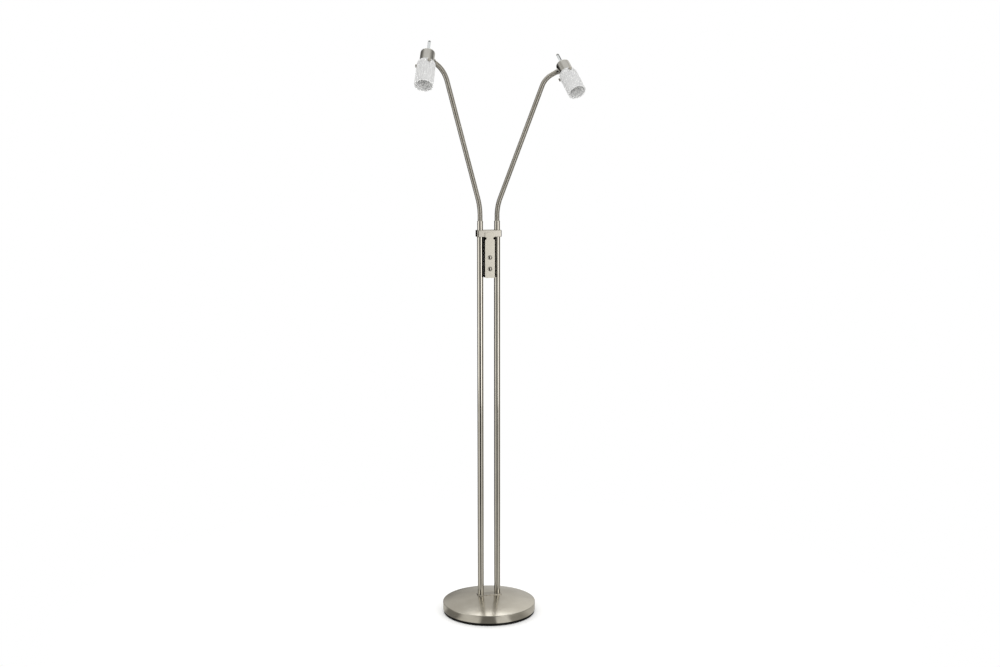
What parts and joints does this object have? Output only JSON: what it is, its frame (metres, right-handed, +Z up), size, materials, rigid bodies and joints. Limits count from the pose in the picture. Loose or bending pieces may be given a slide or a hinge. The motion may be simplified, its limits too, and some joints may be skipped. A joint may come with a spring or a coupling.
{
  "type": "floor lamp",
  "caption": "Reading floor lamp: round weighted base, twin upright tubes, cross-bar with push-button switch plate, ribbed flexible arms, frosted glass spot heads with clear aiming rods.",
  "frame": {"origin": "on the floor at the centre of the round base", "axes": "+Z up; +X along the cross-bar, towards the right arm as seen from the front; -Y is the front, where the buttons are"},
  "size_m": [0.4255, 0.2319, 1.4],
  "materials": {
    "satin_nickel": "satin brushed nickel plate",
    "iron": "rough cast iron",
    "black_plastic": "matt black moulding",
    "rubber": "soft black rubber",
    "zinc_steel": "zinc-plated steel",
    "polished_metal": "polished plate",
    "ceramic": "white glazed ceramic",
    "clear_glass": "clear glass",
    "frosted_glass": "white frosted glass",
    "clear_plastic": "clear acrylic"
  },
  "bodies": {
    "stand": {"base_cover": "satin_nickel", "base_weight": "iron", "base_tray": "black_plastic", "base_pad": "rubber", "cable_bush": "black_plastic", "foot_plate": "satin_nickel", "crossbar": "satin_nickel", "switch_plate": "satin_nickel", "switch_housing": "satin_nickel", "switch_conduit": "zinc_steel", "switch_upper": "black_plastic", "switch_lower": "black_plastic", "upright_left": "satin_nickel", "tube_plug_left": "zinc_steel", "nipple_left": "zinc_steel", "base_nut_left": "zinc_steel", "hose_sleeve_left": "satin_nickel", "hose_left_0": "satin_nickel", "upright_right": "satin_nickel", "tube_plug_right": "zinc_steel", "nipple_right": "zinc_steel", "base_nut_right": "zinc_steel", "hose_sleeve_right": "satin_nickel", "hose_right_0": "satin_nickel"},
    "arm_left_1": {"hose_left_1": "satin_nickel"},
    "arm_left_2": {"hose_left_2": "satin_nickel"},
    "arm_left_3": {"hose_left_3": "satin_nickel"},
    "arm_left_4": {"hose_left_4": "satin_nickel"},
    "arm_left_5": {"hose_left_5": "satin_nickel"},
    "head_left": {"hose_left_6": "satin_nickel", "cap_left": "satin_nickel", "hose_nut_left": "satin_nickel", "fitter_left": "zinc_steel", "lampholder_left": "ceramic", "lamp_left": "clear_glass", "shade_left": "frosted_glass", "shade_screws_left": "satin_nickel", "handle_rod_left": "clear_plastic", "rod_screw_left": "zinc_steel"},
    "arm_right_1": {"hose_right_1": "satin_nickel"},
    "arm_right_2": {"hose_right_2": "satin_nickel"},
    "arm_right_3": {"hose_right_3": "satin_nickel"},
    "arm_right_4": {"hose_right_4": "satin_nickel"},
    "arm_right_5": {"hose_right_5": "satin_nickel"},
    "head_right": {"hose_right_6": "satin_nickel", "cap_right": "satin_nickel", "hose_nut_right": "satin_nickel", "fitter_right": "zinc_steel", "lampholder_right": "ceramic", "lamp_right": "clear_glass", "shade_right": "frosted_glass", "shade_screws_right": "satin_nickel", "handle_rod_right": "clear_plastic", "rod_screw_right": "zinc_steel"},
    "button_upper": {"button_upper": "polished_metal"},
    "button_lower": {"button_lower": "polished_metal"}
  },
  "joints": [
    {"name": "left_arm_1_side", "type": "hinge", "parent": "stand", "child": "arm_left_1", "pos_m": [-0.02332, 0.00024, 1.01637], "axis": [0.0028, 0.9999, -0.0166], "range_deg": [-25, 25]},
    {"name": "left_arm_2_fore_aft", "type": "hinge", "parent": "arm_left_1", "child": "arm_left_2", "pos_m": [-0.03908, 0.00184, 1.07939], "axis": [-0.9676, 0, -0.2525], "range_deg": [-25, 25]},
    {"name": "left_arm_3_side", "type": "hinge", "parent": "arm_left_2", "child": "arm_left_3", "pos_m": [-0.05549, 0.0035, 1.14227], "axis": [0.0065, 0.9997, -0.0248], "range_deg": [-25, 25]},
    {"name": "left_arm_4_fore_aft", "type": "hinge", "parent": "arm_left_3", "child": "arm_left_4", "pos_m": [-0.0719, 0.00517, 1.20514], "axis": [-0.9676, 0, -0.2525], "range_deg": [-25, 25]},
    {"name": "left_arm_5_side", "type": "hinge", "parent": "arm_left_4", "child": "arm_left_5", "pos_m": [-0.08831, 0.00684, 1.26801], "axis": [0.0065, 0.9997, -0.0248], "range_deg": [-25, 25]},
    {"name": "left_arm_6_fore_aft", "type": "hinge", "parent": "arm_left_5", "child": "head_left", "pos_m": [-0.10895, 0.00521, 1.329], "axis": [-0.8127, 0, -0.5827], "range_deg": [-25, 25]},
    {"name": "right_arm_1_side", "type": "hinge", "parent": "stand", "child": "arm_right_1", "pos_m": [0.02468, 0.0014, 1.01613], "axis": [-0.0261, 0.995, -0.0961], "range_deg": [-25, 25]},
    {"name": "right_arm_2_fore_aft", "type": "hinge", "parent": "arm_right_1", "child": "arm_right_2", "pos_m": [0.04926, 0.01079, 1.07551], "axis": [-0.9175, 0, 0.3978], "range_deg": [-25, 25]},
    {"name": "right_arm_3_side", "type": "hinge", "parent": "arm_right_2", "child": "arm_right_3", "pos_m": [0.07483, 0.02055, 1.13447], "axis": [-0.0598, 0.9887, -0.1378], "range_deg": [-25, 25]},
    {"name": "right_arm_4_fore_aft", "type": "hinge", "parent": "arm_right_3", "child": "arm_right_4", "pos_m": [0.10039, 0.03032, 1.19343], "axis": [-0.9175, 0, 0.3978], "range_deg": [-25, 25]},
    {"name": "right_arm_5_side", "type": "hinge", "parent": "arm_right_4", "child": "arm_right_5", "pos_m": [0.12596, 0.04008, 1.25239], "axis": [-0.0598, 0.9887, -0.1378], "range_deg": [-25, 25]},
    {"name": "right_arm_6_fore_aft", "type": "hinge", "parent": "arm_right_5", "child": "head_right", "pos_m": [0.15304, 0.04873, 1.31066], "axis": [-0.7963, 0, 0.6049], "range_deg": [-25, 25]},
    {"name": "button_upper_press", "type": "slide", "parent": "stand", "child": "button_upper", "axis": [0, 1, 0], "range_m": [0, 0.0025], "stiffness_N_per_m": 900, "springref_m": -0.0012},
    {"name": "button_lower_press", "type": "slide", "parent": "stand", "child": "button_lower", "axis": [0, 1, 0], "range_m": [0, 0.0025], "stiffness_N_per_m": 900, "springref_m": -0.0012}
  ]
}
